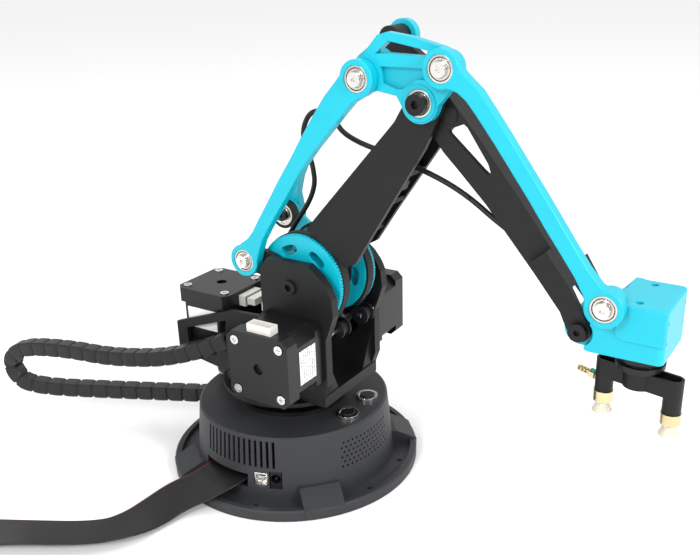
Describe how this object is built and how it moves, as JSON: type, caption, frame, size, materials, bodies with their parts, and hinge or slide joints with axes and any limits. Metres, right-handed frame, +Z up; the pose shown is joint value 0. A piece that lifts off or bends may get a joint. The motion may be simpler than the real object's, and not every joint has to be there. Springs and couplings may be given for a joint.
{
  "type": "desktop robot arm",
  "caption": "Desktop robot arm on a round base: belt-driven shoulder, parallel-link upper arm and forearm, level head with a twin suction-cup tool.",
  "frame": {"origin": "centre of the round base's underside, on the surface it stands on", "axes": "+X from the base's axis along the arm to the head at rest, +Z up, -Y the side with the open link plates and the near motor"},
  "size_m": [0.4489, 0.3164, 0.2803],
  "materials": {
    "housing_plastic": "fine matt moulded",
    "black_plastic": "matt moulded",
    "cyan_plastic": "satin moulded",
    "bearing_steel": "turned and ground",
    "black_metal": "black lacquer over steel",
    "silver_steel": "bright",
    "black_steel": "black oxide",
    "aluminium": "turned",
    "white_plastic": "matt",
    "label_paper": "satin film",
    "belt_rubber": "matt toothed",
    "cable_rubber": "matt",
    "brass": "turned",
    "clear_silicone": "translucent"
  },
  "bodies": {
    "base": {"base_housing": "housing_plastic", "bottom_cover": "black_plastic", "usb_socket": "silver_steel", "power_socket": "black_plastic", "ribbon_header": "black_plastic", "button_bezels": "silver_steel", "turntable_bearing": "black_metal", "azimuth_wheel": "black_plastic", "ribbon_cable": "cable_rubber", "ribbon_plug": "black_plastic"},
    "turret": {"turret_frame": "black_plastic", "azimuth_spindle": "black_metal", "motor_near": "black_metal", "motor_far": "black_metal", "motor_rear": "black_metal", "motor_screws": "silver_steel", "motor_connectors": "white_plastic", "motor_labels": "label_paper", "shoulder_axle": "black_steel", "turret_pins": "silver_steel", "belt_near": "belt_rubber", "belt_far": "belt_rubber", "azimuth_belt": "belt_rubber", "cable_carrier": "black_plastic", "arm_cable_lower": "cable_rubber"},
    "motor_pulley_near": {"motor_pulley_near": "aluminium"},
    "motor_pulley_far": {"motor_pulley_far": "aluminium"},
    "motor_pulley_rear": {"motor_pulley_rear": "aluminium"},
    "idler_near": {"idler_near": "black_plastic"},
    "idler_far": {"idler_far": "black_plastic"},
    "upper_arm": {"arm_wheel": "cyan_plastic", "upper_arm": "black_plastic", "elbow_axle": "black_steel", "arm_cable_upper": "cable_rubber"},
    "crank": {"crank_wheel": "cyan_plastic", "crank_lever": "cyan_plastic", "crank_hub": "black_plastic", "crank_bearing": "bearing_steel"},
    "crank_pin": {"crank_pin": "black_steel"},
    "drive_rod": {"drive_rod": "cyan_plastic", "drive_rod_bearings": "bearing_steel"},
    "rear_link": {"rear_link": "cyan_plastic", "rear_link_bearings": "bearing_steel"},
    "elbow_plate": {"elbow_plate": "cyan_plastic", "elbow_bearing": "bearing_steel", "elbow_pins": "silver_steel"},
    "front_link": {"front_link": "cyan_plastic", "front_link_bearings": "bearing_steel"},
    "forearm": {"forearm": "black_plastic", "wrist_pins": "black_steel", "rod_pin": "black_steel"},
    "head": {"head_block": "cyan_plastic", "servo": "black_plastic", "head_pin": "silver_steel"},
    "tool": {"tool_horn": "black_metal", "tool_holder": "black_plastic", "cup_fittings": "brass", "suction_cups": "clear_silicone"},
    "power_button": {"power_button": "black_metal"},
    "mode_button": {"mode_button": "black_metal"}
  },
  "joints": [
    {"name": "base_rotation", "type": "hinge", "parent": "base", "child": "turret", "pos_m": [0, 0, 0.047], "axis": [0, 0, 1], "range_deg": [-60, 60], "deforming": ["cable_carrier"]},
    {"name": "shoulder", "type": "hinge", "parent": "turret", "child": "upper_arm", "pos_m": [0.0242, 0, 0.1334], "axis": [0, -1, 0], "range_deg": [-13.5, 28.5], "deforming": ["arm_cable_lower"]},
    {"name": "elbow_drive", "type": "hinge", "parent": "elbow_plate", "child": "forearm", "pos_m": [0.10629, 0, 0.24433], "axis": [0, -1, 0], "range_deg": [-12, 35], "deforming": ["arm_cable_upper"]},
    {"name": "rear_link_follow", "type": "hinge", "parent": "turret", "child": "rear_link", "pos_m": [-0.0091, -0.027, 0.1441], "axis": [0, -1, 0], "range_deg": [-14, 29]},
    {"name": "elbow_level", "type": "hinge", "parent": "upper_arm", "child": "elbow_plate", "pos_m": [0.10629, -0.021, 0.24433], "axis": [0, -1, 0], "range_deg": [-29, 14]},
    {"name": "front_link_follow", "type": "hinge", "parent": "elbow_plate", "child": "front_link", "pos_m": [0.12069, -0.027, 0.26253], "axis": [0, -1, 0], "range_deg": [-12.5, 35.5]},
    {"name": "wrist_level", "type": "hinge", "parent": "forearm", "child": "head", "pos_m": [0.19425, 0, 0.138], "axis": [0, -1, 0], "range_deg": [-35.5, 12.5]},
    {"name": "crank_follow", "type": "hinge", "parent": "turret", "child": "crank", "pos_m": [0.0242, 0.015, 0.1334], "axis": [0, -1, 0], "range_deg": [-12.5, 35.5]},
    {"name": "crank_pin_level", "type": "hinge", "parent": "crank", "child": "crank_pin", "pos_m": [-0.0115, 0.018, 0.16079], "axis": [0, -1, 0], "range_deg": [-35.5, 12.5]},
    {"name": "drive_rod_follow", "type": "hinge", "parent": "crank_pin", "child": "drive_rod", "pos_m": [-0.0115, 0.025, 0.16079], "axis": [0, -1, 0], "range_deg": [-14, 29]},
    {"name": "tool_rotation", "type": "hinge", "parent": "head", "child": "tool", "pos_m": [0.2214, 0, 0.124], "axis": [0, 0, 1], "range_deg": [-90, 90]},
    {"name": "near_pulley_spin", "type": "hinge", "parent": "turret", "child": "motor_pulley_near", "pos_m": [0.025, -0.0132, 0.0952], "axis": [0, -1, 0], "range_deg": [-61.5, 129]},
    {"name": "far_pulley_spin", "type": "hinge", "parent": "turret", "child": "motor_pulley_far", "pos_m": [0.025, 0.0132, 0.0952], "axis": [0, -1, 0], "range_deg": [-55, 158.5]},
    {"name": "rear_pulley_spin", "type": "hinge", "parent": "turret", "child": "motor_pulley_rear", "pos_m": [-0.0546, 0, 0.0522], "axis": [0, 0, 1], "range_deg": [-253, 253]},
    {"name": "near_idler_spin", "type": "hinge", "parent": "turret", "child": "idler_near", "pos_m": [0.047, -0.0132, 0.1057], "axis": [0, -1, 0], "range_deg": [-182.5, 87]},
    {"name": "far_idler_spin", "type": "hinge", "parent": "turret", "child": "idler_far", "pos_m": [0.047, 0.0132, 0.1057], "axis": [0, -1, 0], "range_deg": [-224, 77.5]},
    {"name": "power_button_press", "type": "slide", "parent": "base", "child": "power_button", "axis": [0, 0, -1], "range_m": [0, 0.0015], "stiffness_N_per_m": 150, "springref_m": -0.0005},
    {"name": "mode_button_press", "type": "slide", "parent": "base", "child": "mode_button", "axis": [0, 0, -1], "range_m": [0, 0.0015], "stiffness_N_per_m": 150, "springref_m": -0.0005}
  ],
  "couplings": [
    {"joint": "rear_link_follow", "follows": "shoulder", "ratio": 1},
    {"joint": "elbow_level", "follows": "shoulder", "ratio": -1},
    {"joint": "drive_rod_follow", "follows": "shoulder", "ratio": 1},
    {"joint": "near_pulley_spin", "follows": "shoulder", "ratio": 4.5},
    {"joint": "near_idler_spin", "follows": "shoulder", "ratio": -6.37},
    {"joint": "front_link_follow", "follows": "elbow_drive", "ratio": 1},
    {"joint": "wrist_level", "follows": "elbow_drive", "ratio": -1},
    {"joint": "crank_follow", "follows": "elbow_drive", "ratio": 1},
    {"joint": "crank_pin_level", "follows": "elbow_drive", "ratio": -1},
    {"joint": "far_pulley_spin", "follows": "elbow_drive", "ratio": 4.5},
    {"joint": "far_idler_spin", "follows": "elbow_drive", "ratio": -6.37},
    {"joint": "rear_pulley_spin", "follows": "base_rotation", "ratio": -4.2}
  ]
}
